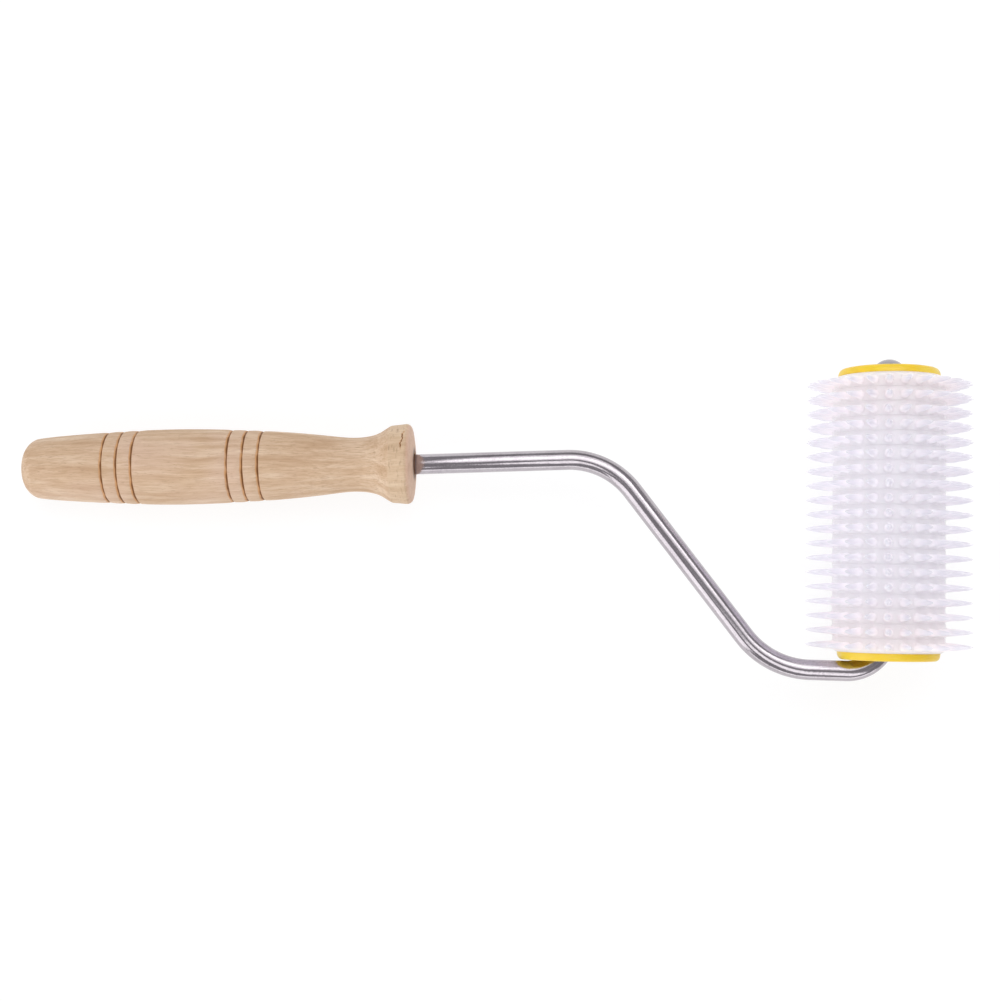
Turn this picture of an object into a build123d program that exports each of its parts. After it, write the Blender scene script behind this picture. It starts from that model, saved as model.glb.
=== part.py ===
from build123d import *
import os
from math import asin, cos, degrees, radians, sin, tan

# Honey-uncapping roller: a drum of stacked needle discs spinning on the end of a bent
# steel rod with a turned wooden handle.  Millimetres and degrees, +Z up.
# Working axes: drum axle on Y through the origin, handle towards -X.

# ---------------------------------------------------------------- driving dimensions
# needle discs
DISC_COUNT = 19
DISC_PITCH = 5.0            # one disc thickness, one row of needles each
ROW_OFFSET = -0.3           # needle row from the middle of its disc
DISC_RADIUS = 19.1
DISC_BORE = 16.05
DISC_EDGE = (0.2, 0.2)      # axial and radial moulded edge break, shows as joint lines
END_EDGE = (0.9, 1.3)       # axial and radial bevel on the two outermost discs
NEEDLES = 24
NEEDLE_TIP = 28.4           # tip circle radius
NEEDLE_ROOT = 1.38          # root radius of one needle
NEEDLE_SWELL = ((0.5, 0.72), (0.85, 0.42))      # share of height, share of root radius
NEEDLE_POINT = 0.1          # radius of the blunted point
NEEDLE_PHASE = 2.0          # first row, measured from straight up towards +X

# core tube with one key rib
TUBE_OUTER = 16.0
TUBE_INNER = 14.85
KEY_WIDTH = 3.0
KEY_HEIGHT = 1.0
KEY_PLAY = 0.05

# end caps: flange, deep cup, hub
FLANGE_THICK = 2.7
FLANGE_BASE = 17.4
FLANGE_FACE = 16.0
CUP_RADIUS = 13.2
SPIGOT_RADIUS = 14.8
HUB_FACE = 37.15            # outer hub face, from the middle of the drum
HUB_THICK = 5.0
HUB_BORE = 4.1              # radius, passes the M8 thread

# axle hardware
THREAD_RADIUS = 4.0         # M8
THREAD_LENGTH = 26.0
WASHER_RADIUS = 8.0
WASHER_BORE = 4.2
WASHER_THICK = 1.6
END_PLAY = 0.2              # gap between a washer and its hub
NUT_HEX = 13.0              # across flats
NUT_HEX_HEIGHT = 6.5
NUT_HEIGHT = 15.0
NUT_DOME = 6.25
NUT_BORE_DEPTH = 11.0

# bent rod, centreline lengths between the corner points
ROD_RADIUS = 3.55
FOOT_CORNER = -54.45        # Y where the foot line meets the axle line
FOOT_ANGLE = -0.7           # slope of the foot below the drum
FOOT_LENGTH = 40.7
SLANT_ANGLE = -51.9
SLANT_LENGTH = 91.7
SHANK_ANGLE = 2.4
SHANK_LENGTH = 67.85        # corner to the collar face of the handle
TANG_LENGTH = 65.0          # inside the handle
FOOT_BEND = 14.3            # bend radii on the centreline
SLANT_BEND = 29.3
SHANK_BEND = 27.6

# turned handle, stations measured from the butt
HANDLE_LENGTH = 140.4
HANDLE_ANGLE = 1.4          # the turned axis sits slightly off the rod
HANDLE_RISE = 0.15
BUTT_FLAT = 4.4
BUTT_SHOULDER = (4.9, 10.63)
BELLY = (54.0, 13.42)
NECK = (118.6, 9.6)
COLLAR = (132.2, 13.6)      # corner between the flare and the rim
COLLAR_EDGE = (137.6, 14.15)
COLLAR_FACE = (139.3, 12.6)
BORE_RADIUS = 3.7
# groove position and the belly radius there
GROOVES = ((31.2, 12.66), (36.6, 12.92), (42.0, 13.15), (75.8, 12.99), (81.2, 12.75), (86.7, 12.46))
GROOVE_DEPTH = 0.45
GROOVE_WIDTH = 1.3

HALF_STACK = DISC_COUNT * DISC_PITCH / 2
AXIS_HEIGHT = NEEDLE_TIP * cos(radians(NEEDLE_PHASE))
REST_FROM_AXLE = 277.4      # where the handle's rear taper touches the table
REST_RADIUS = 12.46
FRAME_TILT = degrees(asin((AXIS_HEIGHT - REST_RADIUS) / REST_FROM_AXLE))


# ---------------------------------------------------------------- small helpers
def ring(outer, inner, y0, y1):
    """Plain ring on the Y axis between y0 and y1."""
    solid = Cylinder(outer, y1 - y0) - Cylinder(inner, (y1 - y0) * 2)
    return Pos(0, (y0 + y1) / 2, 0) * Rot(90, 0, 0) * solid


def turned(points):
    """Closed (radius, y) outline revolved about the Y axis."""
    outline = Polyline(*[(r, y) for r, y in points], close=True)
    return revolve(make_face(outline), Axis.Y)


def unit(angle):
    return Vector(cos(radians(angle)), sin(radians(angle)))


# ---------------------------------------------------------------- drum pieces
def needle():
    """One pointed needle standing along +Z, foot sunk into the disc."""
    foot = DISC_RADIUS - 0.9
    length = NEEDLE_TIP - DISC_RADIUS
    swell = [(NEEDLE_ROOT * r, 0, DISC_RADIUS + length * t) for t, r in NEEDLE_SWELL]
    side = Spline((NEEDLE_ROOT, 0, DISC_RADIUS), *swell, (NEEDLE_POINT, 0, NEEDLE_TIP))
    rest = Polyline(
        (NEEDLE_POINT, 0, NEEDLE_TIP), (0, 0, NEEDLE_TIP), (0, 0, foot),
        (NEEDLE_ROOT, 0, foot), (NEEDLE_ROOT, 0, DISC_RADIUS),
    )
    return revolve(make_face(side + rest), Axis.Z)


def needle_disc(low_edge, high_edge):
    """Disc centred on its own mid plane; each edge is an (axial, radial) bevel."""
    h = DISC_PITCH / 2
    body = turned([
        (DISC_BORE, -h), (DISC_RADIUS - low_edge[1], -h), (DISC_RADIUS, -h + low_edge[0]),
        (DISC_RADIUS, h - high_edge[0]), (DISC_RADIUS - high_edge[1], h), (DISC_BORE, h),
    ])
    slot = Pos(0, 0, DISC_BORE) * Box(
        KEY_WIDTH + 2 * KEY_PLAY, DISC_PITCH * 2, 2 * (KEY_HEIGHT + KEY_PLAY))
    spike = Pos(0, ROW_OFFSET, 0) * needle()
    spikes = [Rot(0, i * 360 / NEEDLES, 0) * spike for i in range(NEEDLES)]
    return Rot(0, NEEDLE_PHASE, 0) * (body - slot + spikes)


def core_tube():
    """Tube that carries the discs, with one long key."""
    end = HALF_STACK - 0.1
    tube = ring(TUBE_OUTER, TUBE_INNER, -end, end)
    key = Pos(0, 0, TUBE_OUTER) * Box(KEY_WIDTH, 2 * end, 2 * KEY_HEIGHT)
    key -= ring(TUBE_OUTER - 0.3, 1, -end - 1, end + 1)
    return Rot(0, NEEDLE_PHASE, 0) * (tube + key)


def end_cap():
    """Deep cup cap for the +Y end: flange on the stack, hub at the cup floor."""
    face = HALF_STACK + FLANGE_THICK
    cup = turned([
        (HUB_BORE, HUB_FACE - HUB_THICK), (SPIGOT_RADIUS - 0.6, HUB_FACE - HUB_THICK),
        (SPIGOT_RADIUS, HUB_FACE - HUB_THICK + 0.6), (SPIGOT_RADIUS, HALF_STACK),
        (FLANGE_BASE, HALF_STACK), (FLANGE_BASE, HALF_STACK + 0.6),
        (FLANGE_FACE, face), (CUP_RADIUS + 0.4, face), (CUP_RADIUS, face - 0.4),
        (CUP_RADIUS, HUB_FACE + 0.8), (CUP_RADIUS - 0.8, HUB_FACE), (HUB_BORE, HUB_FACE),
    ])
    return cup


# ---------------------------------------------------------------- axle hardware
def washer(y0):
    plain = ring(WASHER_RADIUS, WASHER_BORE, y0, y0 + WASHER_THICK)
    rims = plain.edges().filter_by(GeomType.CIRCLE)
    return chamfer([e for e in rims if e.radius > WASHER_RADIUS - 0.1], 0.2)


def dome_nut(y0):
    """M8 domed nut, hexagon at y0, dome towards +Y."""
    hexagon = RegularPolygon(NUT_HEX / 2, 6, major_radius=False)
    prism = Rot(-90, 0, 0) * extrude(hexagon, NUT_HEX_HEIGHT)
    prism = Pos(0, y0, 0) * prism
    corner = NUT_HEX / 2 / cos(radians(30))
    bevel = (corner - NUT_HEX / 2) * tan(radians(30)) + 0.05
    lathe = turned([
        (0, y0), (NUT_HEX / 2 - 0.1, y0), (corner + 0.1, y0 + bevel),
        (corner + 0.1, y0 + NUT_HEX_HEIGHT - bevel),
        (NUT_HEX / 2 - 0.1, y0 + NUT_HEX_HEIGHT), (0, y0 + NUT_HEX_HEIGHT),
    ])
    barrel = ring(NUT_DOME, 0.5, y0 + 0.5, y0 + NUT_HEIGHT - NUT_DOME)
    dome = Pos(0, y0 + NUT_HEIGHT - NUT_DOME, 0) * Sphere(NUT_DOME)
    bore = Pos(0, y0 + NUT_BORE_DEPTH / 2, 0) * Rot(90, 0, 0) * Cylinder(
        THREAD_RADIUS, NUT_BORE_DEPTH)
    return (prism & lathe) + barrel + dome - bore


# ---------------------------------------------------------------- bent frame rod
def rod_corners():
    """Corner points of the rod centreline, tang end first, in the frame plane."""
    foot = Vector(0, FOOT_CORNER)
    slant = foot - unit(FOOT_ANGLE) * FOOT_LENGTH
    shank = slant - unit(SLANT_ANGLE) * SLANT_LENGTH
    collar = shank - unit(SHANK_ANGLE) * SHANK_LENGTH
    tang = collar - unit(SHANK_ANGLE) * TANG_LENGTH
    return tang, collar, shank, slant, foot


def bend(before, corner, after, radius):
    """Arc that rounds a corner: start, middle and end points."""
    a = (before - corner).normalized()
    b = (after - corner).normalized()
    half = a.get_angle(b) / 2
    reach = radius / tan(radians(half))
    middle = (a + b).normalized()
    centre = corner + middle * (radius / sin(radians(half)))
    return corner + a * reach, centre - middle * radius, corner + b * reach


def frame_rod():
    tang, _, shank, slant, foot = rod_corners()
    top = Vector(0, nut_seat() + NUT_BORE_DEPTH - 1.0)
    s0, s1, s2 = bend(tang, shank, slant, SHANK_BEND)
    m0, m1, m2 = bend(shank, slant, foot, SLANT_BEND)
    f0, f1, f2 = bend(slant, foot, top, FOOT_BEND)
    thread_start = top - Vector(0, THREAD_LENGTH)
    path = Wire([
        Edge.make_line(tang, s0), Edge.make_three_point_arc(s0, s1, s2),
        Edge.make_line(s2, m0), Edge.make_three_point_arc(m0, m1, m2),
        Edge.make_line(m2, f0), Edge.make_three_point_arc(f0, f1, f2),
        Edge.make_line(f2, thread_start),
    ])
    section = Plane(origin=tang, z_dir=unit(SHANK_ANGLE)) * Circle(ROD_RADIUS)
    rod = sweep(section, path)
    r = THREAD_RADIUS - 0.04
    thread = turned([
        (0, thread_start.Y - 0.5), (ROD_RADIUS - 0.2, thread_start.Y - 0.5),
        (r, thread_start.Y), (r, top.Y - 1.0), (r - 1.0, top.Y), (0, top.Y),
    ])
    return tilted(rod + thread)


def tilted(shape):
    """Lean the frame plane about the axle so the handle rests on the table."""
    return Rot(0, -FRAME_TILT, 0) * shape


def nut_seat():
    return HUB_FACE + END_PLAY + WASHER_THICK


# ---------------------------------------------------------------- handle
def wooden_handle():
    _, collar, shank, _, _ = rod_corners()
    butt = ThreePointArc((0.15, BUTT_FLAT), (1.6, 8.3), BUTT_SHOULDER)
    belly = Spline(
        BUTT_SHOULDER, (16.0, 11.72), (34.0, 12.8), BELLY, (76.2, 12.97), (98.2, 11.63),
        (111.2, 10.25), NECK, (124.7, 10.1), (128.8, 11.55), COLLAR,
        tangents=((1, 0.15), (1, 0.45)),
    )
    rim = Line(COLLAR, COLLAR_EDGE)
    edge = ThreePointArc(COLLAR_EDGE, (138.7, 13.75), COLLAR_FACE)
    face = ThreePointArc(COLLAR_FACE, (140.1, 6.5), (HANDLE_LENGTH, 0))
    closing = Polyline((HANDLE_LENGTH, 0), (0, 0), (0, BUTT_FLAT - 0.3), (0.15, BUTT_FLAT))
    body = revolve(make_face(butt + belly + rim + edge + face + closing), Axis.X)
    for x, surface in GROOVES:
        body -= groove_cutter(x, surface - GROOVE_DEPTH)
    body = Rot(0, 0, HANDLE_ANGLE) * Pos(-HANDLE_LENGTH, 0, 0) * body
    body = Pos(collar.X, collar.Y + HANDLE_RISE, 0) * body
    middle = collar - unit(SHANK_ANGLE) * (TANG_LENGTH / 2 - 2)
    bore = Rot(0, 0, SHANK_ANGLE) * Rot(0, 90, 0) * Cylinder(BORE_RADIUS, TANG_LENGTH + 6)
    return tilted(body - Pos(middle.X, middle.Y, 0) * bore)


def groove_cutter(x, floor):
    """V ring cutter, carried past the surface at the same slope."""
    past = 2.2
    w, h = past * GROOVE_WIDTH / 2, past * GROOVE_DEPTH
    outline = Polyline((x, floor), (x + w, floor + h), (x - w, floor + h), close=True)
    return revolve(make_face(outline), Axis.X)


# ---------------------------------------------------------------- assembly
def build():
    parts = {"wooden_handle": wooden_handle(), "frame_rod": frame_rod()}
    plain = needle_disc(DISC_EDGE, DISC_EDGE)
    first = needle_disc(END_EDGE, DISC_EDGE)
    last = needle_disc(DISC_EDGE, END_EDGE)
    for i in range(DISC_COUNT):
        disc = first if i == 0 else last if i == DISC_COUNT - 1 else plain
        y = (i - (DISC_COUNT - 1) / 2) * DISC_PITCH
        parts[f"needle_disc_{i + 1:02d}"] = Pos(0, y, 0) * disc
    parts["core_tube"] = core_tube()
    parts["outer_end_cap"] = end_cap()
    parts["inner_end_cap"] = Rot(0, 0, 180) * end_cap()
    parts["outer_washer"] = washer(HUB_FACE + END_PLAY)
    parts["inner_washer"] = washer(-HUB_FACE - END_PLAY - WASHER_THICK)
    parts["dome_nut"] = dome_nut(nut_seat())
    return parts


def main():
    os.makedirs("parts", exist_ok=True)
    parts = build()
    box = Compound(children=[s.moved(Location((0, 0, 0))) for s in parts.values()])
    size = box.bounding_box(optimal=True)
    middle = size.center()
    shift = Pos(-middle.X, -middle.Y, -size.min.Z)
    for name, shape in parts.items():
        export_step(shift * shape, f"parts/{name}.step")
    print("size", size.size, "drum centre", -middle.X, -middle.Y, -size.min.Z)
    print("tilt", FRAME_TILT)


main()
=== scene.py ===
import math
import random

import bmesh
import bpy
import numpy as np
from mathutils import Matrix, Vector


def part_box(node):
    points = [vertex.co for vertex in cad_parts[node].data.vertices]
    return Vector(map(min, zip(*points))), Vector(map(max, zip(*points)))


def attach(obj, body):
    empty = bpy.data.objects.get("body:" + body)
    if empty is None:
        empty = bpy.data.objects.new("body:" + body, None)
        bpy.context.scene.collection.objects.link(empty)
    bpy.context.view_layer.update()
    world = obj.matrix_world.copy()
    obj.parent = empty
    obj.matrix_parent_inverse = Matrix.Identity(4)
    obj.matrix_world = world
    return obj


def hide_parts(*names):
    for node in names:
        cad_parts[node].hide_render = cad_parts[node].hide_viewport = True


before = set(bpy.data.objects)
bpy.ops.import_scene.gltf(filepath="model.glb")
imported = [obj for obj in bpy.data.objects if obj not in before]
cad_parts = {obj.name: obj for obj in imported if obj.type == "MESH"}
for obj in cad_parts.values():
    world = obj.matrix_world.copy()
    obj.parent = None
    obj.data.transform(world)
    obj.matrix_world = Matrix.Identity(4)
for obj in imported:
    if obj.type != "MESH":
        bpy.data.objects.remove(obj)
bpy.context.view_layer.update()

# Needle roller for opening honeycomb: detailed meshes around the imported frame.
# Object positions are metres; the outlines below are millimetres about the middle of the
# drum, turned into metres by MM.
MM = 0.001
rng = random.Random(7)


def centre_of(node):
    lo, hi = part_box(node)
    return (Vector(lo) + Vector(hi)) / 2


DRUM = centre_of("needle_disc_10")

# ------------------------------------------------------------------ shared dimensions
DISCS, PITCH, NEEDLES = 19, 5.0, 24
DISC_R, BORE_R, TIP_R = 19.1, 16.05, 28.4
ROOT_R, POINT_R = 1.38, 0.1                 # a needle's radius at its root and at its point
ROW, PHASE = -0.3, 2.0                      # needle row from the disc's middle; angle of the first
DISC_EDGE, END_EDGE = (0.2, 0.2), (0.9, 1.3)            # edge breaks: axial, radial
HALF_STACK = DISCS * PITCH / 2
FLANGE, FLANGE_BASE, FLANGE_FACE = 2.7, 17.4, 16.0
CUP_R, SPIGOT_R, HUB_FACE, HUB_THICK, HUB_BORE = 13.2, 14.8, 37.15, 5.0, 4.1
TUBE_OUTER, TUBE_INNER, KEY_HALF, KEY_TOP = 16.0, 14.85, 1.5, 17.0
THREAD_R, THREAD_LEN, THREAD_PITCH, THREAD_DEPTH = 3.96, 26.0, 1.25, 0.62
WASHER_R, WASHER_BORE, WASHER_T, END_PLAY = 8.0, 4.2, 1.6, 0.2
NUT_FLATS, NUT_HEX_H, NUT_H, NUT_DOME, NUT_BORE, NUT_BORE_DEPTH = 13.0, 6.5, 15.0, 6.25, 4.0, 11.0
NUT_SEAT = HUB_FACE + END_PLAY + WASHER_T
ROD_R = 3.55
# the rod's straight runs: direction in the frame plane and length between corners
FOOT_Y, FOOT_DEG, FOOT_LEN = -54.45, -0.7, 40.7
SLANT_DEG, SLANT_LEN = -51.9, 91.7
SHANK_DEG, SHANK_LEN, TANG_LEN = 2.4, 67.85, 65.0
SHANK_BEND, SLANT_BEND, FOOT_BEND = 27.6, 29.3, 14.3    # bend radii of its centreline
HANDLE_LEN, HANDLE_DEG, HANDLE_RISE = 140.4, 1.4, 0.15
HANDLE_BORE = 3.7
# handle outline: butt arc, spline through the belly, collar edge arc, face arc
BUTT_ARC = (0.15, 4.4), (1.6, 8.3), (4.9, 10.63)
BELLY = ((4.9, 10.63), (16.0, 11.72), (34.0, 12.8), (54.0, 13.42), (76.2, 12.97), (98.2, 11.63),
         (111.2, 10.25), (118.6, 9.6), (124.7, 10.1), (128.8, 11.55), (132.2, 13.6))
BELLY_SLOPES = 0.15, 0.45                   # slopes at the two ends of the spline
COLLAR_ARC = (137.6, 14.15), (138.7, 13.75), (139.3, 12.6)
FACE_ARC = (139.3, 12.6), (140.1, 6.5), (140.4, 0.0)
GROOVES = (31.2, 36.6, 42.0, 75.8, 81.2, 86.7)
GROOVE_DEPTH, GROOVE_BACK, GROOVE_FRONT = 0.45, 1.9, 0.4     # long slope on the butt side
GROOVE_CURVE = 1.4                          # over 1, so that the slopes hollow towards the cut
BEAD_FALL, BEAD_REACH = 0.12, 1.6           # the beads between grooves are slightly rounded
REST_REACH, REST_R = 277.4, 12.46           # where the handle lies on the table
TILT = math.asin((TIP_R * math.cos(math.radians(PHASE)) - REST_R) / REST_REACH)
FRAME_LEAN = Matrix.Rotation(-TILT, 4, "Y")


# ------------------------------------------------------------------ mesh helpers
def add_mesh(name, verts, faces, place=None, uvs=None, cut=None, sharp=35.0):
    """Object at the drum centre from millimetre vertices, smooth with sharp edges by angle.

    place moves the vertices; the unmoved ones, in metres, stay in the attribute "local".
    cut is the depth of wood removed at each vertex, for the stain and the dark brown in the grooves
    and the painted shade in the collar's crack and the bore.
    """
    local = np.asarray(verts, float) * MM
    moved = local
    if place is not None:
        m = np.array(place)
        moved = local @ m[:3, :3].T + m[:3, 3]
    me = bpy.data.meshes.new(name)
    me.from_pydata(moved.tolist(), [], faces)
    bm = bmesh.new()
    bm.from_mesh(me)
    bmesh.ops.recalc_face_normals(bm, faces=bm.faces)
    bm.to_mesh(me)
    bm.free()
    me.polygons.foreach_set("use_smooth", [True] * len(me.polygons))
    me.set_sharp_from_angle(angle=math.radians(sharp))
    if place is not None:
        store = me.attributes.new("local", "FLOAT_VECTOR", "POINT")
        store.data.foreach_set("vector", local.ravel())
    if cut is not None:
        me.attributes.new("cut", "FLOAT", "POINT").data.foreach_set("value", cut)
    if uvs is not None:
        layer = me.uv_layers.new(name="along")
        loops = np.empty(len(me.loops), int)
        me.loops.foreach_get("vertex_index", loops)
        layer.data.foreach_set("uv", np.asarray(uvs, float)[loops].ravel())
    me.update()
    ob = bpy.data.objects.new(name, me)
    bpy.context.scene.collection.objects.link(ob)
    ob.matrix_world = Matrix.Translation(DRUM)
    return ob


def finish_piece(ob, body, node, material):
    """Gives a piece its material in a new slot, hangs it under its body and hides the CAD node that
    it replaces.
    """
    ob.data.materials.append(material)
    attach(ob, body)
    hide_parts(node)


def grid_faces(rows, cols, wrap_rows=False):
    """Quads between rings of cols points each; wrap_rows also joins the last ring to the first."""
    faces = []
    for i in range(rows if wrap_rows else rows - 1):
        a, b = i * cols, ((i + 1) % rows) * cols
        for j in range(cols):
            k = (j + 1) % cols
            faces.append((a + j, a + k, b + k, b + j))
    return faces


def capped(rings, end_points):
    """Vertices and faces of a stack of closed rings with a fan at each end."""
    rows, segs = len(rings), len(rings[0])
    n = rows * segs
    verts = np.concatenate(list(rings) + [np.array(end_points, float)])
    faces = grid_faces(rows, segs)
    last = (rows - 1) * segs
    for j in range(segs):
        k = (j + 1) % segs
        faces += [(n, k, j), (n + 1, last + j, last + k)]
    return verts, faces


def arc(cx, cy, r, a0, a1, n):
    """Points on an arc in the (radius, height) plane, angles in degrees."""
    return [(cx + r * math.cos(math.radians(a0 + (a1 - a0) * i / n)),
             cy + r * math.sin(math.radians(a0 + (a1 - a0) * i / n))) for i in range(n + 1)]


def arc_through(a, b, c, n):
    """Points on the circle through three points, from a to c."""
    (ax, ay), (bx, by), (cx, cy) = a, b, c
    d = 2 * (ax * (by - cy) + bx * (cy - ay) + cx * (ay - by))
    qa, qb, qc = ax * ax + ay * ay, bx * bx + by * by, cx * cx + cy * cy
    ux = (qa * (by - cy) + qb * (cy - ay) + qc * (ay - by)) / d
    uy = (qa * (cx - bx) + qb * (ax - cx) + qc * (bx - ax)) / d
    r = math.hypot(ax - ux, ay - uy)
    a0, a1 = math.atan2(ay - uy, ax - ux), math.atan2(cy - uy, cx - ux)
    turn = (a1 - a0 + math.pi) % (2 * math.pi) - math.pi
    return [(ux + r * math.cos(a0 + turn * i / n), uy + r * math.sin(a0 + turn * i / n))
            for i in range(n + 1)]


def ring_about_y(radius, height, segs):
    """Ring of points about the Y axis; angle 0 is +Z, growing towards +X."""
    t = np.arange(segs) * 2 * math.pi / segs
    r = np.broadcast_to(radius, (segs,))
    return np.stack([r * np.sin(t), np.full(segs, float(height)), r * np.cos(t)], 1)


def lathe(name, profile, segs=128, flip=False, sharp=35.0):
    """Closed (radius, height) outline turned about Y; flip mirrors it to the -Y end."""
    sign = -1 if flip else 1
    verts = np.concatenate([ring_about_y(r, sign * h, segs) for r, h in profile])
    return add_mesh(name, verts, grid_faces(len(profile), segs, True), sharp=sharp)


# ------------------------------------------------------------------ shader helpers
class Nodes:
    """Short notation for a principled material."""

    def __init__(self, name, **inputs):
        self.mat = bpy.data.materials.new(name)
        self.mat.use_nodes = True
        self.tree = self.mat.node_tree
        self.shader = self.tree.nodes["Principled BSDF"]
        for key, value in inputs.items():
            self.shader.inputs[key.replace("_", " ")].default_value = value

    def add(self, kind, links=(), **props):
        node = self.tree.nodes.new("ShaderNode" + kind)
        for key, value in props.items():
            if key[0].isupper():
                node.inputs[key.replace("_", " ")].default_value = value
            else:
                setattr(node, key, value)
        for target, source in dict(links).items():
            self.tree.links.new(source, node.inputs[target])
        return node

    def to(self, socket, source):
        """Links a source to the shader."""
        self.tree.links.new(source, self.shader.inputs[socket])

    def place(self):
        """Metres from the middle of the drum."""
        return self.add("TexCoord").outputs["Object"]

    def local(self):
        """The piece's own coordinates, before it was turned into place."""
        return self.add("Attribute", attribute_name="local").outputs["Vector"]

    def split(self, vector):
        return self.add("SeparateXYZ", {"Vector": vector}).outputs

    def math(self, op, a, b=0.0):
        node = self.tree.nodes.new("ShaderNodeMath")
        node.operation = op
        for i, v in enumerate((a, b)):
            if isinstance(v, (int, float)):
                node.inputs[i].default_value = v
            else:
                self.tree.links.new(v, node.inputs[i])
        return node.outputs[0]

    def smooth(self, value, lo, hi, out_lo=0.0, out_hi=1.0):
        """Smooth step from out_lo to out_hi as value goes from lo to hi."""
        node = self.add("MapRange", {"Value": value}, interpolation_type="SMOOTHSTEP")
        for key, v in zip(("From Min", "From Max", "To Min", "To Max"), (lo, hi, out_lo, out_hi)):
            node.inputs[key].default_value = v
        return node.outputs["Result"]

    def mix(self, factor, a, b):
        """Colours a and b mixed; the sockets 0, 6 and 7 are the factor and the two colours."""
        node = self.tree.nodes.new("ShaderNodeMix")
        node.data_type = "RGBA"
        for i, v in ((0, factor), (6, a), (7, b)):
            if isinstance(v, (int, float)):
                node.inputs[i].default_value = v
            elif isinstance(v, tuple):
                node.inputs[i].default_value = (*v, 1.0)
            else:
                self.tree.links.new(v, node.inputs[i])
        return node.outputs[2]

    def ramp(self, value, *stops):
        node = self.add("ValToRGB", {"Fac": value})
        ramp = node.color_ramp
        while len(ramp.elements) < len(stops):
            ramp.elements.new(0.5)
        for element, (pos, colour) in zip(ramp.elements, stops):
            element.position = pos
            element.color = (*colour, 1.0)
        return node.outputs["Color"]

    def noise(self, vector, scale, detail=3.0, rough=0.5, stretch=None):
        if stretch:
            vector = self.add("Mapping", {"Vector": vector}, Scale=stretch).outputs[0]
        return self.add("TexNoise", {"Vector": vector}, Scale=scale, Detail=detail,
                        Roughness=rough).outputs["Fac"]

    def bump(self, height, strength, distance, normal=None):
        node = self.add("Bump", {"Height": height}, Strength=strength, Distance=distance)
        if normal is not None:
            self.tree.links.new(normal, node.inputs["Normal"])
        return node.outputs["Normal"]


def rgb(r, g, b):
    """8-bit sRGB to scene-linear."""
    def lin(c):
        c /= 255
        return c / 12.92 if c <= 0.04045 else ((c + 0.055) / 1.055) ** 2.4
    return lin(r), lin(g), lin(b)


# ------------------------------------------------------------------ materials
def disc_plastic():
    """Milky moulded plastic: cool white needles, a slightly warmer body that is painted lighter to
    lift the shade in the trenches between the needle rows, and a faint painted glow over all of it.
    """
    # the faint emission is painted light: a glow that lifts the shade among the needles, though the
    # plastic is no lamp
    n = Nodes("disc_plastic", Roughness=0.36, IOR=1.46, Subsurface_Weight=1.0,
              Subsurface_Radius=(1.0, 0.92, 0.96), Subsurface_Scale=0.006,
              Emission_Color=(0.92, 0.90, 0.95, 1), Emission_Strength=0.125)
    place = n.place()
    x, y, z = n.split(place)
    radius = n.math("SQRT", n.math("ADD", n.math("MULTIPLY", x, x), n.math("MULTIPLY", z, z)))
    warm_from, warm_to = 0.022, 0.048           # distance from the middle disc
    near_end = n.smooth(n.math("ABSOLUTE", y), warm_from, warm_to)
    body_out, needles_in = 0.0192, 0.0270       # radii between which the body's lighter tint fades out; it is painted light against the shade in the trenches
    body = n.smooth(radius, body_out, needles_in, 1.0, 0.0)
    cloud = n.noise(place, 90.0, 2.0)
    base = n.mix(n.smooth(cloud, 0.35, 0.7), rgb(199, 198, 209), rgb(194, 193, 205))
    # the body is painted much lighter than the needles: painted light that offsets the shade between
    # the needle rows
    body_lightened = n.mix(near_end, rgb(241, 236, 242), rgb(244, 232, 232))
    base = n.mix(n.math("MULTIPLY", body, 0.9), base, body_lightened)
    n.to("Base Color", base)
    flow = n.noise(place, 260.0, 3.0)
    n.to("Roughness", n.smooth(flow, 0.25, 0.8, 0.32, 0.44))
    fine = n.noise(place, 900.0, 2.0)
    n.to("Normal", n.bump(fine, 0.1, 0.0002))
    return n.mat


def cap_yellow():
    n = Nodes("cap_yellow", Roughness=0.32, IOR=1.48, Subsurface_Weight=0.3,
              Subsurface_Radius=(1.0, 0.7, 0.15), Subsurface_Scale=0.002)
    place = n.place()
    flow = n.noise(place, 60.0, 3.0)
    n.to("Base Color", n.mix(n.smooth(flow, 0.3, 0.75), rgb(254, 218, 64), rgb(249, 209, 52)))
    n.to("Roughness", n.smooth(flow, 0.2, 0.8, 0.28, 0.4))
    n.to("Normal", n.bump(n.noise(place, 1400.0, 2.0), 0.06, 0.0002))
    return n.mat


def core_plastic():
    n = Nodes("core_plastic", Roughness=0.5, Subsurface_Weight=0.2, Subsurface_Scale=0.002)
    place = n.place()
    cloud = n.noise(place, 80.0, 3.0)
    n.to("Base Color", n.mix(n.smooth(cloud, 0.3, 0.7), rgb(232, 228, 232), rgb(222, 218, 224)))
    n.to("Normal", n.bump(n.noise(place, 700.0), 0.1, 0.0002))
    return n.mat


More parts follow.
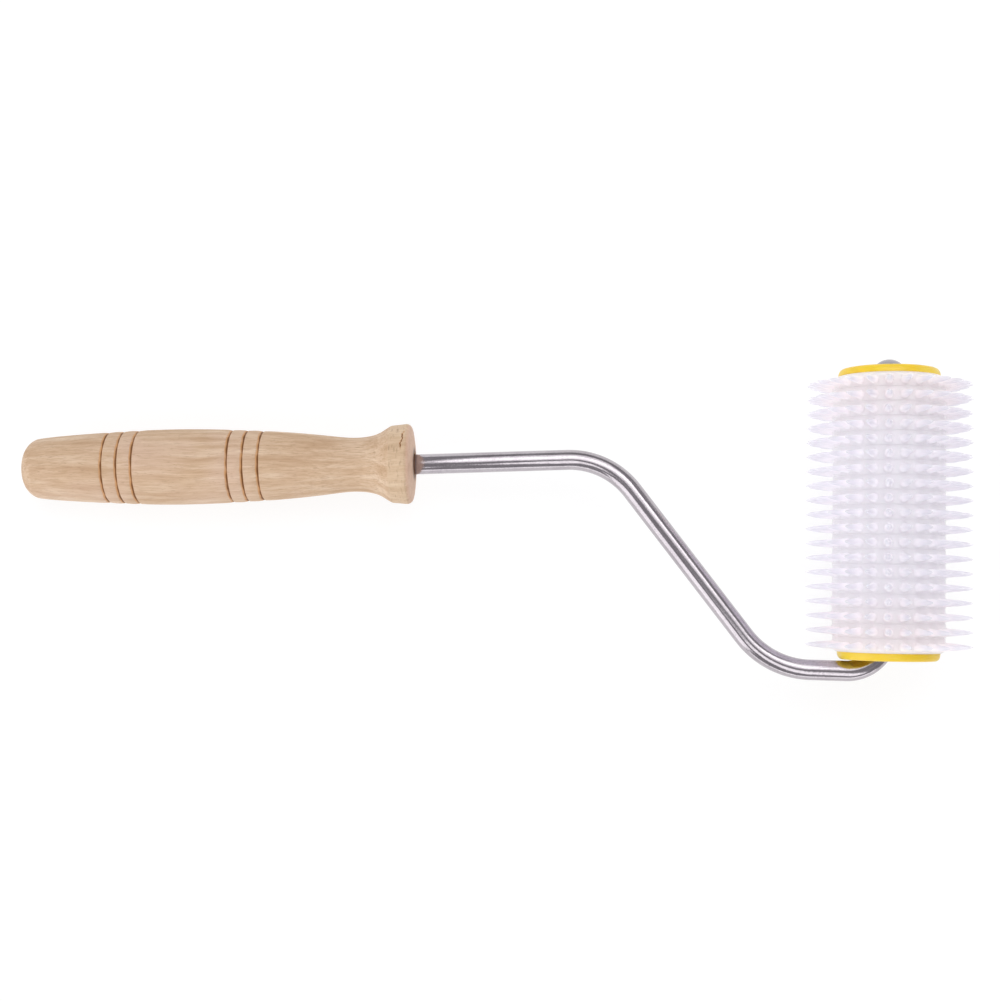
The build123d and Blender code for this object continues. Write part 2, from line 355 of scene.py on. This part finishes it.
def rod_steel():
    """Drawn stainless rod: fine lines along it, a grainy satin surface."""
    n = Nodes("rod_steel", Metallic=1.0, Roughness=0.15)
    uv = n.add("UVMap", uv_map="along").outputs["UV"]
    place = n.local()
    lines = n.noise(uv, 1.0, 4.0, 0.6, (60.0, 4200.0, 1.0))
    grain = n.noise(place, 1900.0, 3.0, 0.65)
    blotch = n.noise(place, 130.0, 3.0, 0.6)
    tone = n.mix(n.smooth(lines, 0.25, 0.75), rgb(176, 170, 175), rgb(202, 196, 201))
    tone = n.mix(n.smooth(blotch, 0.4, 0.75, 0.0, 0.4), tone, rgb(162, 154, 160))
    n.to("Base Color", n.mix(n.smooth(grain, 0.45, 0.75, 0.0, 0.4), tone, rgb(138, 130, 136)))
    streaky = n.smooth(lines, 0.3, 0.8, 0.08, 0.15)
    n.to("Roughness", n.math("ADD", streaky, n.smooth(grain, 0.3, 0.8, 0.0, 0.1)))
    shallow = n.bump(lines, 0.08, 0.0001)
    n.to("Normal", n.bump(grain, 0.12, 0.0001, shallow))
    return n.mat


def plated(name, tone, rough):
    n = Nodes(name, Metallic=1.0, Roughness=rough)
    place = n.place()
    haze = n.noise(place, 400.0, 3.0)
    n.to("Base Color", n.mix(n.smooth(haze, 0.3, 0.8), tone, tuple(0.86 * c for c in tone)))
    n.to("Roughness", n.smooth(haze, 0.3, 0.8, rough, rough + 0.12))
    n.to("Normal", n.bump(n.noise(place, 2500.0, 2.0), 0.04, 0.0001))
    return n.mat


def handle_wood():
    """Bare turned hardwood: fine straight fibres, short flecks, stained cuts, torn collar rim, and
    painted shade round the rod and in the collar's crack.
    """
    n = Nodes("handle_wood", Roughness=0.6, IOR=1.45, Specular_IOR_Level=0.35)
    place = n.local()
    warp = n.noise(place, 26.0, 2.0, 0.5)
    shifted = n.add("VectorMath", {0: place}, operation="ADD")
    push = n.add("CombineXYZ", {"Y": n.math("MULTIPLY", warp, 0.004)}).outputs[0]
    n.tree.links.new(push, shifted.inputs[1])
    wavy = shifted.outputs[0]
    fibres = n.noise(wavy, 1.0, 4.0, 0.6, (190.0, 2300.0, 2300.0))
    bands = n.noise(wavy, 1.0, 3.0, 0.55, (26.0, 380.0, 380.0))
    blotch = n.noise(place, 42.0, 2.0, 0.5)
    flecks = n.noise(wavy, 1.0, 2.0, 0.5, (420.0, 2600.0, 2600.0))
    base = n.ramp(bands, (0.30, rgb(198, 164, 131)), (0.5, rgb(215, 185, 154)),
                  (0.70, rgb(229, 204, 177)))
    base = n.mix(n.smooth(fibres, 0.42, 0.68, 0.0, 0.5), base, rgb(186, 150, 117))
    base = n.mix(n.smooth(blotch, 0.45, 0.8, 0.0, 0.35), base, rgb(224, 194, 178))
    base = n.mix(n.smooth(flecks, 0.60, 0.74, 0.0, 0.40), base, rgb(160, 124, 94))
    # the collar: its rim is torn wood, its face is end grain, darkened round the rod with painted
    # shade in the crevice where the rod goes in
    x, y, z = n.split(place)
    rim_on, rim_off, face_on = (0.1318, 0.1324), (0.1378, 0.1386), (0.1380, 0.1390)
    rim = n.math("MULTIPLY", n.smooth(x, *rim_on), n.smooth(x, *rim_off, 1.0, 0.0))
    torn = n.noise(place, 1.0, 2.0, 0.6, (1500.0, 330.0, 330.0))
    base = n.mix(n.math("MULTIPLY", rim, 0.35), base, rgb(228, 204, 172))
    ticks = n.math("MULTIPLY", rim, n.smooth(torn, 0.55, 0.72, 0.0, 0.5))
    base = n.mix(ticks, base, rgb(164, 130, 100))
    face = n.smooth(x, *face_on, 0.0, 0.5)
    base = n.mix(face, base, rgb(226, 188, 168))
    # painted shade: the face darkens towards the rod, in the crevice where the rod goes in
    from_axis = n.math("SQRT", n.math("ADD", n.math("MULTIPLY", y, y), n.math("MULTIPLY", z, z)))
    shade_in, shade_out = 0.0038, 0.0068
    bore_shade = n.math("MULTIPLY", face, n.smooth(from_axis, shade_in, shade_out, 1.8, 0.0))
    base = n.mix(bore_shade, base, rgb(88, 66, 56))
    # the cuts: orange where they are shallow, dark brown where they are deep; in the collar's crack
    # that dark brown is painted shade
    cut = n.add("Attribute", attribute_name="cut").outputs["Fac"]
    cut_patches = n.noise(place, 1.0, 3.0, 0.6, (200.0, 420.0, 420.0))
    shallow, deep = (0.12, 0.27), (0.27, 0.37)
    stain = n.math("MULTIPLY", n.smooth(cut, *shallow), n.smooth(cut_patches, 0.25, 0.6, 0.55, 0.95))
    base = n.mix(stain, base, rgb(206, 150, 96))
    # darker brown where the cut is deep: in the grooves a darker colour, in the collar's crack
    # painted shade
    deep_darkening = n.math("MULTIPLY", n.smooth(cut, *deep), n.smooth(cut_patches, 0.2, 0.5, 0.75, 1.0))
    base = n.mix(deep_darkening, base, rgb(124, 82, 46))
    n.to("Base Color", base)
    n.to("Roughness", n.smooth(fibres, 0.3, 0.8, 0.52, 0.7))
    rough = n.bump(fibres, 0.2, 0.0004)
    rough = n.bump(n.math("MULTIPLY", rim, torn), 0.5, 0.0004, rough)
    n.to("Normal", n.bump(flecks, 0.14, 0.0003, rough))
    return n.mat


# ------------------------------------------------------------------ drum
CELL_SIDE = 6                               # boundary points along each side of a needle's cell
CELL_GAP, LEAST_ROOT = 0.03, 0.9            # a needle's foot stays this clear of the cell's edge,
                                            # but is at least this share of the root's radius
FOOT_RINGS = ((0.60, 0.0), (0.30, 0.05), (0.11, 0.19), (0.0, 0.45))     # added radius, height
SHAFT_STEPS = (0.12, 0.25, 0.38, 0.5, 0.62, 0.73, 0.82, 0.89, 0.945, 0.98, 1.0)
NEEDLE_TAPER, NEEDLE_BLUNT = 0.55, 5.5
TIP_ROUND, BORE_BREAK = 0.03, 0.15
SLIP_X, SLIP_Z, TURN_PLAY = 0.07, 0.05, 0.5            # how far a disc sits from true
SHORTEST, LONGEST = 0.022, 0.006                       # share that a needle is short of TIP_R


def needle_radius(t):
    """A needle's radius at share t of its height: a gentle taper into a blunt round point."""
    return max(POINT_R, ROOT_R * (1 - NEEDLE_TAPER * t) * math.sqrt(1 - t ** NEEDLE_BLUNT))


def needle_cell(y_lo, y_hi):
    """Closed rings of one needle's cell, as (around, along, height) arrays, boundary first."""
    half = math.pi * DISC_R / NEEDLES
    step = np.arange(CELL_SIDE) / CELL_SIDE
    across, up = half * (1 - 2 * step), y_hi + (y_lo - y_hi) * step
    a = np.concatenate([across, np.full(CELL_SIDE, -half), -across, np.full(CELL_SIDE, half)])
    y = np.concatenate([np.full(CELL_SIDE, y_hi), up, np.full(CELL_SIDE, y_lo),
                        up[0] + y_lo - up])
    phi = np.arctan2(y - ROW, a)
    ca, cy = np.cos(phi), np.sin(phi)
    room = np.where(cy > 0, y_hi - ROW, ROW - y_lo) - CELL_GAP
    room = room / np.maximum(np.abs(cy), 1e-6)
    boundary = (a, y, np.zeros_like(a))
    rings = []
    for grow, height in FOOT_RINGS:
        r = np.minimum(ROOT_R + grow, np.maximum(room, ROOT_R * LEAST_ROOT))
        rings.append((ca * r, ROW + cy * r, np.full_like(a, height)))
    between = tuple(0.5 * (p + q) for p, q in zip(boundary, rings[0]))
    for t in SHAFT_STEPS:
        r = needle_radius(t)
        height = FOOT_RINGS[-1][1] * (1 - t) ** 3 + t * (TIP_R - DISC_R)
        rings.append((ca * r, ROW + cy * r, np.full_like(a, height)))
    return [boundary, between] + rings


def needle_disc(index, material):
    """One moulded disc: a cell round each needle, edge breaks, flat faces and bore."""
    number = index + 1
    low = END_EDGE if number == 1 else DISC_EDGE
    high = END_EDGE if number == DISCS else DISC_EDGE
    h = PITCH / 2
    cell = needle_cell(-h + low[0], h - high[0])
    rows, count = len(cell), len(cell[0][0])
    slip = np.array([rng.uniform(-SLIP_X, SLIP_X), 0.0, rng.uniform(-SLIP_Z, SLIP_Z)])
    turn = PHASE + rng.uniform(-TURN_PLAY, TURN_PLAY)
    points, faces = [], []
    for k in range(NEEDLES):
        th = math.radians(turn + k * 360 / NEEDLES)
        out = np.array([math.sin(th), 0, math.cos(th)])
        around = np.array([math.cos(th), 0, -math.sin(th)])
        length = 1 - rng.uniform(LONGEST, SHORTEST)
        for a, y, height in cell:
            reach = np.sqrt(DISC_R ** 2 - a ** 2) + height * length
            ring = reach[:, None] * out + a[:, None] * around
            ring[:, 1] = y
            points.append(ring)
        tip_reach = DISC_R + (cell[-1][2][0] + TIP_ROUND) * length
        points.append(tip_reach * out[None, :] + [[0, ROW, 0]])
        start = k * (rows * count + 1)
        tip, top = start + rows * count, start + (rows - 1) * count
        faces += [tuple(start + v for v in f) for f in grid_faces(rows, count)]
        faces += [(top + j, top + (j + 1) % count, tip) for j in range(count)]
    verts = np.concatenate(points)

    # a cell's far side is the next cell's near side
    stride = rows * count + 1
    same = np.arange(len(verts))
    for k in range(NEEDLES):
        for j in range(CELL_SIDE + 1):
            mine = k * stride + (3 * CELL_SIDE + j) % count
            same[mine] = (k + 1) % NEEDLES * stride + 2 * CELL_SIDE - j
    faces = [tuple(same[v] for v in f) for f in faces]
    cells = [k * stride for k in range(NEEDLES)]
    top_loop = [same[c + j] for c in cells for j in range(CELL_SIDE, 0, -1)]
    low_loop = [same[c + j] for c in cells for j in range(2 * CELL_SIDE, 3 * CELL_SIDE)]

    # rings from the needle cells' upper edge, over the face, down the bore and back
    extra, loops = [], []
    total = len(verts)
    wide = BORE_R + BORE_BREAK
    for loop, radius, y in ((top_loop, DISC_R - high[1], h), (top_loop, wide, h),
                            (top_loop, BORE_R, h - BORE_BREAK), (low_loop, BORE_R, BORE_BREAK - h),
                            (low_loop, wide, -h), (low_loop, DISC_R - low[1], -h)):
        ring = verts[loop].copy()
        ring *= (radius / np.hypot(ring[:, 0], ring[:, 2]))[:, None]
        ring[:, 1] = y
        loops.append(list(range(total, total + len(loop))))
        extra.append(ring)
        total += len(loop)
    chain = [top_loop] + loops + [low_loop]
    for one, two in zip(chain, chain[1:]):
        for j in range(len(one)):
            k = (j + 1) % len(one)
            faces.append((one[j], one[k], two[k], two[j]))
    verts = np.concatenate([verts] + extra)
    used = sorted({int(v) for f in faces for v in f})
    new = {v: i for i, v in enumerate(used)}
    centre_y = (index - (DISCS - 1) / 2) * PITCH
    verts = verts[used] + slip + [0.0, centre_y, 0.0]
    faces = [tuple(new[int(v)] for v in f) for f in faces]
    ob = add_mesh(f"disc_{number:02d}", verts, faces, sharp=28.0)
    finish_piece(ob, "drum", f"needle_disc_{number:02d}", material)


def end_cap(name, node, flip, material):
    """Deep cup: rounded flange against the stack, spigot in the tube, hub at the cup floor."""
    face, inner, seat = HALF_STACK + FLANGE, HUB_FACE - HUB_THICK, HALF_STACK + 0.01
    nose, swell, lip, fillet = 0.8, 0.12, 0.5, 1.0      # radii of the rounded edges
    back_break, front_break, hub_ring = 0.3, 0.25, 2.2
    profile = [(HUB_BORE, inner + back_break), (HUB_BORE + back_break, inner)]
    profile += arc(SPIGOT_R - nose, inner + nose, nose, -90, 0, 5)
    profile += [(SPIGOT_R, seat), (FLANGE_BASE - swell, seat)]
    steps = 12
    for i in range(steps + 1):
        t = math.radians(90 * i / steps)
        profile.append((FLANGE_FACE + (FLANGE_BASE - FLANGE_FACE) * math.cos(t),
                        HALF_STACK + swell + (FLANGE - swell) * math.sin(t)))
    profile += arc(CUP_R + lip, face - lip, lip, 90, 180, 4)
    profile += arc(CUP_R - fillet, HUB_FACE + fillet, fillet, 0, -90, 6)
    profile += [(HUB_BORE + hub_ring, HUB_FACE), (HUB_BORE + front_break, HUB_FACE),
                (HUB_BORE, HUB_FACE - front_break)]
    ob = lathe(name, profile, segs=144, flip=flip)
    finish_piece(ob, "drum", node, material)


def core_tube(material):
    """Tube and long key that carry the discs."""
    end = HALF_STACK - 0.1                      # just short of the stack
    segs, spare, edge = 120, 0.02, 0.15
    k0 = math.asin(KEY_HALF / TUBE_OUTER)
    angles = [i * 2 * math.pi / segs for i in range(segs)]
    outline = [(TUBE_OUTER * math.sin(a), TUBE_OUTER * math.cos(a)) for a in angles
               if k0 + spare < a < 2 * math.pi - k0 - spare]
    foot = TUBE_OUTER * math.cos(k0)
    outline += [(-KEY_HALF, foot), (-KEY_HALF, KEY_TOP - edge), (-KEY_HALF + edge, KEY_TOP),
                (KEY_HALF - edge, KEY_TOP), (KEY_HALF, KEY_TOP - edge), (KEY_HALF, foot)]
    outline = np.array(outline)
    bore = outline * (TUBE_INNER / np.hypot(outline[:, 0], outline[:, 1]))[:, None]
    rings = [np.stack([loop[:, 0], np.full(len(loop), y), loop[:, 1]], 1)
             for loop, y in ((outline, -end), (outline, end), (bore, end), (bore, -end))]
    faces = grid_faces(4, len(outline), True)
    turned = Matrix.Rotation(math.radians(PHASE), 4, "Y")
    ob = add_mesh("core", np.concatenate(rings), faces, place=turned)
    finish_piece(ob, "drum", "core_tube", material)


# ------------------------------------------------------------------ axle hardware
def washer(name, node, y0, material):
    """Punched washer from y0 up: rolled-over edge below, sharper edge above."""
    edge, burr_wide, burr_deep, y1 = 0.18, 0.4, 0.3, y0 + WASHER_T
    profile = [(WASHER_BORE, y0 + edge), (WASHER_BORE + edge, y0)]
    profile += arc(WASHER_R - 2 * edge, y0 + 2 * edge, 2 * edge, -90, 0, 4)
    profile += arc(WASHER_R - edge, y1 - edge, edge, 0, 90, 3)
    profile += [(WASHER_BORE + burr_wide, y1), (WASHER_BORE, y1 - burr_deep)]
    ob = lathe(name, profile, segs=96)
    finish_piece(ob, "frame", node, material)


def dome_nut(material):
    """Hexagon with turned chamfers, short neck, dome, and a blind bore for the thread."""
    segs = 144
    flats = NUT_FLATS / 2
    corner = flats / math.cos(math.radians(30))
    chamfer = (corner - flats) * math.tan(math.radians(30)) + 0.1
    theta = np.arange(segs) * 2 * math.pi / segs
    side = (theta + math.pi / 6) % (math.pi / 3) - math.pi / 6        # flats face up and down
    dulled = 0.12                               # taken off the hexagon's corners
    hexagon = np.minimum(flats / np.cos(side), corner - dulled)
    steps, under, over = 5, 0.15, 0.2           # the bevel starts under the flats and ends past them
    bevel = [(flats - under + (corner - flats + over) * i / steps, chamfer * i / steps)
             for i in range(steps + 1)]
    neck = NUT_DOME - 0.05
    floor_edge, mouth_edge = 0.2, 0.35
    bore = [(NUT_BORE - floor_edge, NUT_BORE_DEPTH), (NUT_BORE, NUT_BORE_DEPTH - floor_edge),
            (NUT_BORE, mouth_edge), (NUT_BORE + mouth_edge, 0.0)]
    hex_part = bevel + [(2 * corner, NUT_HEX_H / 2)]
    hex_part += [(r, NUT_HEX_H - y) for r, y in bevel[::-1]]
    dome = [(neck + 0.12, NUT_HEX_H), (neck, NUT_HEX_H + 0.15), (neck, NUT_H - NUT_DOME - 0.6)]
    dome += arc(0, NUT_H - NUT_DOME, NUT_DOME, -2, 88, 22)
    rings = [ring_about_y(r, NUT_SEAT + y, segs) for r, y in bore]
    rings += [ring_about_y(np.minimum(hexagon, r), NUT_SEAT + y, segs) for r, y in hex_part]
    rings += [ring_about_y(r, NUT_SEAT + y, segs) for r, y in dome]
    drill_point = NUT_BORE_DEPTH + 0.6
    verts, faces = capped(rings, [[0, NUT_SEAT + drill_point, 0], [0, NUT_SEAT + NUT_H, 0]])
    ob = add_mesh("domed_nut", verts, faces, sharp=24.0)
    finish_piece(ob, "frame", "dome_nut", material)


# ------------------------------------------------------------------ bent rod
def unit(deg):
    return np.array([math.cos(math.radians(deg)), math.sin(math.radians(deg))])


def rod_corners():
    """Corner points of the rod's centreline in the frame plane, tang end first."""
    foot = np.array([0.0, FOOT_Y])
    slant = foot - unit(FOOT_DEG) * FOOT_LEN
    shank = slant - unit(SLANT_DEG) * SLANT_LEN
    collar = shank - unit(SHANK_DEG) * SHANK_LEN
    tang = collar - unit(SHANK_DEG) * TANG_LEN
    return tang, collar, shank, slant, foot


def rounded_path(points, radii, step=2.0):
    """Centreline with each inner corner rounded: points and unit tangents."""
    path = [points[0]]
    for before, corner, after, radius in zip(points, points[1:], points[2:], radii):
        a = (before - corner) / np.linalg.norm(before - corner)
        b = (after - corner) / np.linalg.norm(after - corner)
        half = math.acos(float(a @ b)) / 2
        middle = (a + b) / np.linalg.norm(a + b)
        centre = corner + middle * radius / math.sin(half)
        v0 = corner + a * radius / math.tan(half) - centre
        v1 = corner + b * radius / math.tan(half) - centre
        turn = math.atan2(v0[0] * v1[1] - v0[1] * v1[0], float(v0 @ v1))
        count = int(abs(math.degrees(turn)) / step)
        for k in range(count + 1):
            c, s = math.cos(turn * k / count), math.sin(turn * k / count)
            path.append(centre + [c * v0[0] - s * v0[1], s * v0[0] + c * v0[1]])
    path.append(points[-1])
    path = np.array(path)
    tangents = np.gradient(path, axis=0)
    tangents[0], tangents[-1] = path[1] - path[0], path[-1] - path[-2]
    return path, tangents / np.linalg.norm(tangents, axis=1)[:, None]


def frame_rod(material):
    """Swept rod with a small end chamfer, then the rolled thread that takes the nut."""
    segs = 72
    phi = np.arange(segs) * 2 * math.pi / segs
    girth = phi * ROD_R * MM
    tang, _, shank, slant, foot = rod_corners()
    top = NUT_SEAT + NUT_BORE_DEPTH - 1.0       # the rod's end, just short of the nut's bore
    thread_start = top - THREAD_LEN
    corners = [tang, shank, slant, foot, np.array([0.0, thread_start])]
    path, tangents = rounded_path(corners, [SHANK_BEND, SLANT_BEND, FOOT_BEND])
    chamfer = 0.5
    path = np.concatenate([path[:1], path[:1] + tangents[:1] * chamfer, path[1:]])
    tangents = np.concatenate([tangents[:1], tangents])
    travel = np.concatenate([[0.0], np.cumsum(np.linalg.norm(np.diff(path, axis=0), axis=1))])
    rings, uvs = [], []
    for i, (p, t, along) in enumerate(zip(path, tangents, travel)):
        r = ROD_R - chamfer if i == 0 else ROD_R
        side = r * np.sin(phi)
        rings.append(np.stack([p[0] + side * t[1], p[1] - side * t[0], r * np.cos(phi)], 1))
        uvs.append(np.stack([np.full(segs, along * MM), girth], 1))
    # the thread's crest runs round as a helix, fades in over the run-out and ends in a chamfer
    per_turn, flat, flank = 10, 0.12, 0.76      # shares of half a pitch: crest flat and flank
    run_out, end_r, lead_in = 2.0, 3.0, 1.2
    for i in range(1, int(THREAD_LEN / THREAD_PITCH * per_turn) + 1):
        y = thread_start + i * THREAD_PITCH / per_turn
        wave = np.abs((y / THREAD_PITCH - phi / (2 * math.pi)) % 1.0 * 2 - 1)
        crest = THREAD_R - THREAD_DEPTH * np.clip((wave - flat) / flank, 0, 1)
        r = ROD_R + (crest - ROD_R) * min(1.0, (y - thread_start) / run_out)
        r = np.minimum(r, end_r + min(1.0, max(0.0, (top - y) / lead_in)))
        rings.append(ring_about_y(r, y, segs))
        uvs.append(np.stack([np.full(segs, (travel[-1] + y - thread_start) * MM), girth], 1))
    last = rings[-1][0][1]
    verts, faces = capped(rings, [[tang[0], tang[1], 0.0], [0.0, last, 0.0]])
    uvs = np.concatenate(uvs + [np.zeros((2, 2))])
    ob = add_mesh("rod", verts, faces, place=FRAME_LEAN, uvs=uvs, sharp=50.0)
    finish_piece(ob, "frame", "frame_rod", material)


# ------------------------------------------------------------------ handle
def spline(points, start_slope, end_slope):
    """Cubic through (x, r) stations with given end slopes; returns a function."""
    x, r = np.array(points).T
    n, h = len(x), np.diff(np.array(points).T[0])
    m, v = np.zeros((n, n)), np.zeros(n)
    m[0, 0], v[0] = 1, start_slope
    m[-1, -1], v[-1] = 1, end_slope
    for i in range(1, n - 1):
        m[i, i - 1:i + 2] = h[i], 2 * (h[i - 1] + h[i]), h[i - 1]
        v[i] = 3 * (h[i] * (r[i] - r[i - 1]) / h[i - 1] + h[i - 1] * (r[i + 1] - r[i]) / h[i])
    slope = np.linalg.solve(m, v)

    def at(s):
        i = min(max(int(np.searchsorted(x, s)) - 1, 0), n - 2)
        t = (s - x[i]) / h[i]
        return ((2 * t ** 3 - 3 * t ** 2 + 1) * r[i] + (t ** 3 - 2 * t ** 2 + t) * h[i] * slope[i]
                + (3 * t ** 2 - 2 * t ** 3) * r[i + 1] + (t ** 3 - t ** 2) * h[i] * slope[i + 1])
    return at


def groove_cut(s):
    """Depth of the turned grooves at s from the butt: long slope first, then a steep wall."""
    deep = 0.0
    for g in GROOVES:
        side = (g - s) / GROOVE_BACK if s < g else (s - g) / GROOVE_FRONT
        deep = max(deep, GROOVE_DEPTH * max(0.0, 1 - side) ** GROOVE_CURVE)
        deep = max(deep, BEAD_FALL * math.exp(-((s - g) / BEAD_REACH) ** 2))
    return deep


def handle_outline():
    """(distance from the butt, radius, cut) down the handle and into the bore.

    The cut in the bore's mouth and down the bore only colours it, orange and then dark brown, as
    painted shade in the crevice round the rod; the radius there is already the bore's.
    """
    belly = spline(BELLY, *BELLY_SLOPES)
    out = [(0.0, r, 0.0) for r in (1.2, 2.4, 3.4, 4.1)]         # flat of the butt
    out += [(x, r, 0.0) for x, r in arc_through(*BUTT_ARC, 14)]
    fine, coarse, reach = 0.09, 0.5, 1.6
    s = BELLY[0][0] + coarse
    while s < BELLY[-1][0] - 0.2:
        near = min(abs(s - g) for g in GROOVES)
        out.append((s, float(belly(s)), groove_cut(s)))
        s += fine if near < reach else coarse
    rim, edge = BELLY[-1], COLLAR_ARC[0]
    steps = 36
    out += [(rim[0] + (edge[0] - rim[0]) * i / steps, rim[1] + (edge[1] - rim[1]) * i / steps, 0.0)
            for i in range(steps)]
    out += [(x, r, 0.0) for x, r in arc_through(*COLLAR_ARC, 12)]
    out += [(x, r, 0.0) for x, r in arc_through(*FACE_ARC, 9)[1:] if r > HANDLE_BORE + 0.6]
    # the cut given to the bore's mouth and the bore paints shade into them
    out += [(HANDLE_LEN - 0.15, HANDLE_BORE + 0.3, 0.2), (HANDLE_LEN - 0.5, HANDLE_BORE, 0.5)]
    out += [(HANDLE_LEN - TANG_LEN - 1.0, HANDLE_BORE, 0.5)]
    return out


def collar_wear(x, phi):
    """Wood missing round the collar: chipped front edge and one jagged crack behind it.

    Sines of unrelated counts round the collar make both look ragged.
    """
    edge = COLLAR_ARC[0][0] + 0.5
    chips = 0.05 * (1 + np.sin(3 * phi + 1.0)) + 0.10 * np.maximum(0, np.sin(11 * phi + 2.0)) ** 4
    chips += 0.07 * np.maximum(0, np.sin(37 * phi + 0.7)) ** 2 * (1 + np.sin(5 * phi))
    chips *= max(0.0, 1 - abs(x - edge) / 1.3)
    crack_start, crack_end, crack_deep, crack_half = 0.28, 0.98, 0.55, 0.30
    crack_at = 136.5 + 1.6 * (phi - 0.3) + 0.22 * np.sin(23 * phi) + 0.12 * np.sin(61 * phi + 1)
    length = np.clip((phi - crack_start) / 0.12, 0, 1) * np.clip((crack_end - phi) / 0.15, 0, 1)
    crack = crack_deep * length * np.clip(1 - np.abs(x - crack_at) / crack_half, 0, 1)
    return chips, crack


def wooden_handle(material):
    """Turned handle, a little out of round, with grooves and a worn collar."""
    segs = 240
    phi = np.arange(segs) * 2 * math.pi / segs
    rings, cuts = [], []
    outline = handle_outline()
    for x, r, deep in outline:
        inside = r < HANDLE_BORE + 1 and x > 10
        rr, cut = np.full(segs, r), np.full(segs, deep)
        if not inside and x > BELLY[-1][0]:
            chips, crack = collar_wear(x, phi)
            rr -= chips + crack
            # the crack's depth joins the cut, so the material paints shade into the crack
            cut += crack
        elif not inside and r > 5:
            drift = 1 + 0.12 * np.sin(5 * phi + 0.9 * x) + 0.08 * np.sin(17 * phi + 2.1 * x)
            cut = cut * drift
            oval = 0.03 * (1 + np.sin(2 * phi + 0.05 * x))
            rr -= oval + cut
        rings.append(np.stack([np.full(segs, x), rr * np.sin(phi), rr * np.cos(phi)], 1))
        cuts.append(cut)
    verts, faces = capped(rings, [[0, 0, 0], [outline[-1][0], 0, 0]])
    cuts = np.concatenate(cuts + [np.zeros(2)])
    collar = rod_corners()[1]
    place = (FRAME_LEAN @ Matrix.Translation((collar[0] * MM, (collar[1] + HANDLE_RISE) * MM, 0))
             @ Matrix.Rotation(math.radians(HANDLE_DEG), 4, "Z")
             @ Matrix.Translation((-HANDLE_LEN * MM, 0, 0)))
    ob = add_mesh("handle", verts, faces, place=place, cut=cuts, sharp=30.0)
    finish_piece(ob, "frame", "wooden_handle", material)


# ------------------------------------------------------------------ build the object
white = disc_plastic()
for i in range(DISCS):
    needle_disc(i, white)
yellow = cap_yellow()
end_cap("cap_far", "outer_end_cap", False, yellow)
end_cap("cap_near", "inner_end_cap", True, yellow)
core_tube(core_plastic())
steel = plated("washer_steel", rgb(205, 205, 208), 0.3)
washer("washer_far", "outer_washer", HUB_FACE + END_PLAY, steel)
washer("washer_near", "inner_washer", -HUB_FACE - END_PLAY - WASHER_T, steel)
dome_nut(plated("nut_chrome", rgb(170, 168, 173), 0.1))
frame_rod(rod_steel())
wooden_handle(handle_wood())


# ------------------------------------------------------------------ stage, light, camera
def floor():
    """Plain white table that mostly glows by itself, so that it stays white under the tool."""
    n = Nodes("floor_white", Roughness=0.9, Specular_IOR_Level=0.2,
              Base_Color=(0.22, 0.22, 0.22, 1), Emission_Color=(1, 1, 1, 1), Emission_Strength=0.82)
    half = 4.0
    me = bpy.data.meshes.new("floor")
    me.from_pydata([(-half, -half, 0), (half, -half, 0), (half, half, 0), (-half, half, 0)], [],
                   [(0, 1, 2, 3)])
    me.materials.append(n.mat)
    ob = bpy.data.objects.new("floor", me)
    bpy.context.scene.collection.objects.link(ob)


def softbox(name, place, size, radiance, turn=None):
    """Even rectangular light that the camera doesn't see.

    With turn, in degrees, it hangs level; without, it is aimed at the middle of the object.
    """
    light = bpy.data.lights.new(name, "AREA")
    light.shape = "RECTANGLE"
    light.size, light.size_y = size
    light.energy = radiance * math.pi * size[0] * size[1]
    ob = bpy.data.objects.new(name, light)
    bpy.context.scene.collection.objects.link(ob)
    ob.location = place
    ob.visible_camera = False
    if turn is None:
        ob.rotation_euler = (-Vector(place)).to_track_quat("-Z", "Y").to_euler()
    else:
        ob.rotation_euler = (0, 0, math.radians(turn))


def studio():
    """Dim even room around the softboxes."""
    world = bpy.data.worlds.new("studio")
    bpy.context.scene.world = world
    world.use_nodes = True
    background = world.node_tree.nodes["Background"]
    background.inputs["Color"].default_value = (0.98, 0.96, 1.0, 1)
    background.inputs["Strength"].default_value = 0.35


floor()
softbox("overhead", (0.06, 0.82, 1.0), (1.22, 1.55), 1.05, turn=0)
softbox("strip", (0.06, 0.53, 0.99), (1.22, 0.55), 1.05, turn=0)
softbox("fill", (0.26, -0.92, 1.0), (0.48, 1.5), 1.5, turn=38)
softbox("side", (-0.95, -0.44, 0.40), (1.2, 0.95), 1.5)
softbox("front", (0.1, -1.3, 0.16), (2.2, 0.3), 1.3)
softbox("right", (1.15, 0.30, 0.26), (1.0, 0.35), 1.2)
studio()

camera = bpy.data.cameras.new("camera")
camera.sensor_width = 36.0
camera.lens = 58.2
camera.clip_start, camera.clip_end = 0.01, 20.0
cam = bpy.data.objects.new("camera", camera)
bpy.context.scene.collection.objects.link(cam)
# nearly straight above the tool: metres from the drum's middle, then turns in radians
from_drum = Vector((-0.13023, -0.02923, 0.56037))
roll, sideways, forwards = 0.017, 0.0065, 0.0568
cam.matrix_world = (Matrix.Translation(DRUM + from_drum)
                    @ Matrix.Rotation(roll, 4, "Z") @ Matrix.Rotation(sideways, 4, "Y")
                    @ Matrix.Rotation(forwards, 4, "X"))
bpy.context.scene.camera = cam
bpy.context.scene.view_settings.view_transform = "Standard"
bpy.context.scene.view_settings.look = "None"
